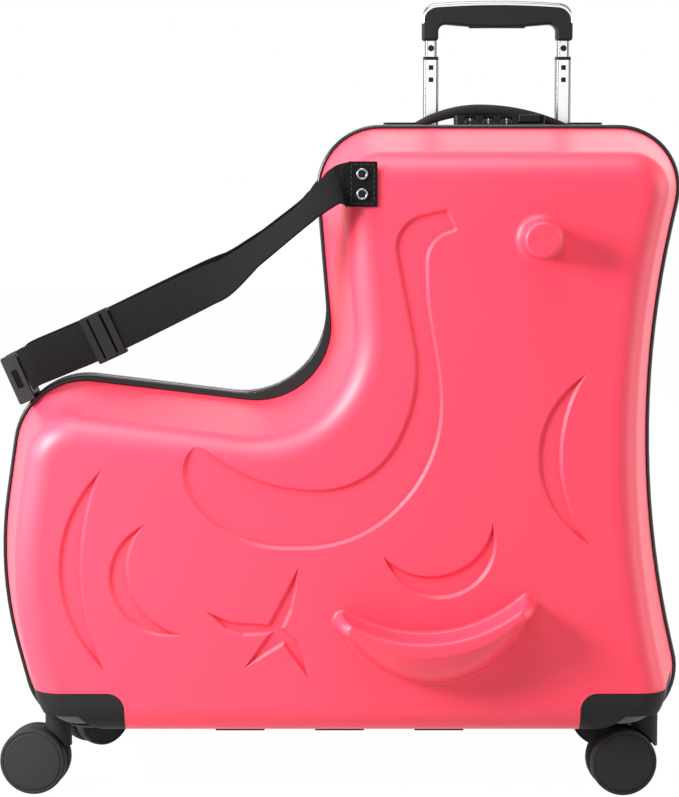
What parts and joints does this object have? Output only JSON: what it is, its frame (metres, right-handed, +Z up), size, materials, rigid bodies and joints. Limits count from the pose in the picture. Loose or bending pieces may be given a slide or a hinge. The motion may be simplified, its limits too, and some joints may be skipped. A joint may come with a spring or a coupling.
{
  "type": "ride-on suitcase",
  "caption": "Child's ride-on suitcase with a saddle-shaped hinged shell, swivel casters, telescopic handle, side pegs, foot rests, dial lock and a buckled seat belt.",
  "frame": {"origin": "on the floor under the middle of the case", "axes": "+X towards the handle end, +Y to the trolley side, +Z up; the pictured face looks along -Y"},
  "size_m": [0.4932, 0.286, 0.5647],
  "materials": {
    "shell": "satin gloss moulded shell",
    "trim": "matt black rubber",
    "zip": "black zip chain and sliders",
    "steel": "zinc-plated steel",
    "guard": "grained black plastic",
    "wheel": "matt black wheel",
    "tube": "polished aluminium",
    "chrome": "bright plated",
    "fitting": "smooth black plastic",
    "grip": "soft black grip",
    "web": "woven black webbing"
  },
  "bodies": {
    "rear_half": {"rear_shell": "shell", "rear_trim": "trim", "rear_zip": "zip", "rear_hinge_leaf": "fitting", "hinge_pin": "steel", "trolley_guides": "tube", "trolley_bezel": "fitting", "trolley_bracket": "fitting", "carry_handle": "grip", "handle_anchors": "fitting", "lock_body": "fitting", "lock_spindle": "steel", "zip_sliders": "zip", "rear_left_guard": "guard", "rear_right_guard": "guard", "rear_left_kingpin": "steel", "rear_right_kingpin": "steel"},
    "front_half": {"front_shell": "shell", "front_trim": "trim", "front_zip": "zip", "front_hinge_leaf": "fitting", "front_left_guard": "guard", "front_right_guard": "guard", "front_left_kingpin": "steel", "front_right_kingpin": "steel"},
    "belt_front": {"front_belt_tab": "web", "front_belt_rivets": "chrome", "front_belt_swivel": "steel", "front_strap": "web", "belt_adjuster": "fitting", "buckle_socket": "fitting"},
    "belt_rear": {"rear_belt_tab": "web", "rear_belt_rivets": "chrome", "rear_belt_swivel": "steel", "rear_strap": "web", "buckle_plug": "fitting"},
    "trolley_lower": {"lower_tubes": "tube", "lower_catches": "fitting", "lower_collars": "fitting"},
    "trolley_upper": {"upper_tubes": "tube", "grip": "grip", "grip_strip": "chrome", "grip_pins": "fitting"},
    "release_button": {"release_button": "fitting"},
    "lock_dial_1": {"lock_dial_1": "fitting"},
    "lock_dial_2": {"lock_dial_2": "fitting"},
    "lock_dial_3": {"lock_dial_3": "fitting"},
    "lock_button": {"lock_button": "fitting"},
    "front_left_caster": {"front_left_fork": "guard", "front_left_axle": "steel"},
    "front_left_wheels": {"front_left_wheels": "wheel"},
    "front_right_caster": {"front_right_fork": "guard", "front_right_axle": "steel"},
    "front_right_wheels": {"front_right_wheels": "wheel"},
    "rear_left_caster": {"rear_left_fork": "guard", "rear_left_axle": "steel"},
    "rear_left_wheels": {"rear_left_wheels": "wheel"},
    "rear_right_caster": {"rear_right_fork": "guard", "rear_right_axle": "steel"},
    "rear_right_wheels": {"rear_right_wheels": "wheel"}
  },
  "joints": [
    {"name": "lid", "type": "hinge", "parent": "rear_half", "child": "front_half", "pos_m": [0, 0, 0.033], "axis": [1, 0, 0], "range_deg": [0, 90]},
    {"name": "trolley_lower", "type": "slide", "parent": "rear_half", "child": "trolley_lower", "axis": [0, 0, 1], "range_m": [-0.05, 0.19]},
    {"name": "trolley_upper", "type": "slide", "parent": "trolley_lower", "child": "trolley_upper", "axis": [0, 0, 1], "range_m": [-0.0115, 0.21]},
    {"name": "release_button", "type": "slide", "parent": "trolley_upper", "child": "release_button", "axis": [0, 0, 1], "range_m": [0, 0.003], "stiffness_N_per_m": 400, "springref_m": -0.002},
    {"name": "lock_button", "type": "slide", "parent": "rear_half", "child": "lock_button", "axis": [1, 0, 0], "range_m": [0, 0.003], "stiffness_N_per_m": 300, "springref_m": -0.001},
    {"name": "dial_1", "type": "hinge", "parent": "rear_half", "child": "lock_dial_1", "pos_m": [0.0947, 0.0135, 0.4747], "axis": [1, 0, 0], "continuous": true},
    {"name": "dial_2", "type": "hinge", "parent": "rear_half", "child": "lock_dial_2", "pos_m": [0.1079, 0.0135, 0.4747], "axis": [1, 0, 0], "continuous": true},
    {"name": "dial_3", "type": "hinge", "parent": "rear_half", "child": "lock_dial_3", "pos_m": [0.1211, 0.0135, 0.4747], "axis": [1, 0, 0], "continuous": true},
    {"name": "front_left_swivel", "type": "hinge", "parent": "front_half", "child": "front_left_caster", "pos_m": [-0.1998, -0.07, 0.056], "axis": [0, 0, 1], "continuous": true},
    {"name": "front_left_roll", "type": "hinge", "parent": "front_left_caster", "child": "front_left_wheels", "pos_m": [-0.21641, -0.06825, 0.0236], "axis": [0.1045, 0.9945, 0], "continuous": true},
    {"name": "front_right_swivel", "type": "hinge", "parent": "front_half", "child": "front_right_caster", "pos_m": [0.2168, -0.07, 0.056], "axis": [0, 0, 1], "continuous": true},
    {"name": "front_right_roll", "type": "hinge", "parent": "front_right_caster", "child": "front_right_wheels", "pos_m": [0.20019, -0.07175, 0.0236], "axis": [-0.1045, 0.9945, 0], "continuous": true},
    {"name": "rear_left_swivel", "type": "hinge", "parent": "rear_half", "child": "rear_left_caster", "pos_m": [-0.1998, 0.07, 0.056], "axis": [0, 0, 1], "continuous": true},
    {"name": "rear_left_roll", "type": "hinge", "parent": "rear_left_caster", "child": "rear_left_wheels", "pos_m": [-0.18701, 0.08074, 0.0236], "axis": [0.6428, -0.766, 0], "continuous": true},
    {"name": "rear_right_swivel", "type": "hinge", "parent": "rear_half", "child": "rear_right_caster", "pos_m": [0.2168, 0.07, 0.056], "axis": [0, 0, 1], "continuous": true},
    {"name": "rear_right_roll", "type": "hinge", "parent": "rear_right_caster", "child": "rear_right_wheels", "pos_m": [0.20329, 0.07982, 0.0236], "axis": [0.5878, 0.809, 0], "continuous": true},
    {"name": "belt_front", "type": "hinge", "parent": "front_half", "child": "belt_front", "pos_m": [0.0228, -0.11, 0.421], "axis": [0, 1, 0], "range_deg": [0, 90]},
    {"name": "belt_rear", "type": "hinge", "parent": "rear_half", "child": "belt_rear", "pos_m": [0.0228, 0.11, 0.421], "axis": [0, 1, 0], "range_deg": [0, 90]}
  ],
  "couplings": [
    {"joint": "belt_front", "follows": "belt_rear", "ratio": 1}
  ]
}
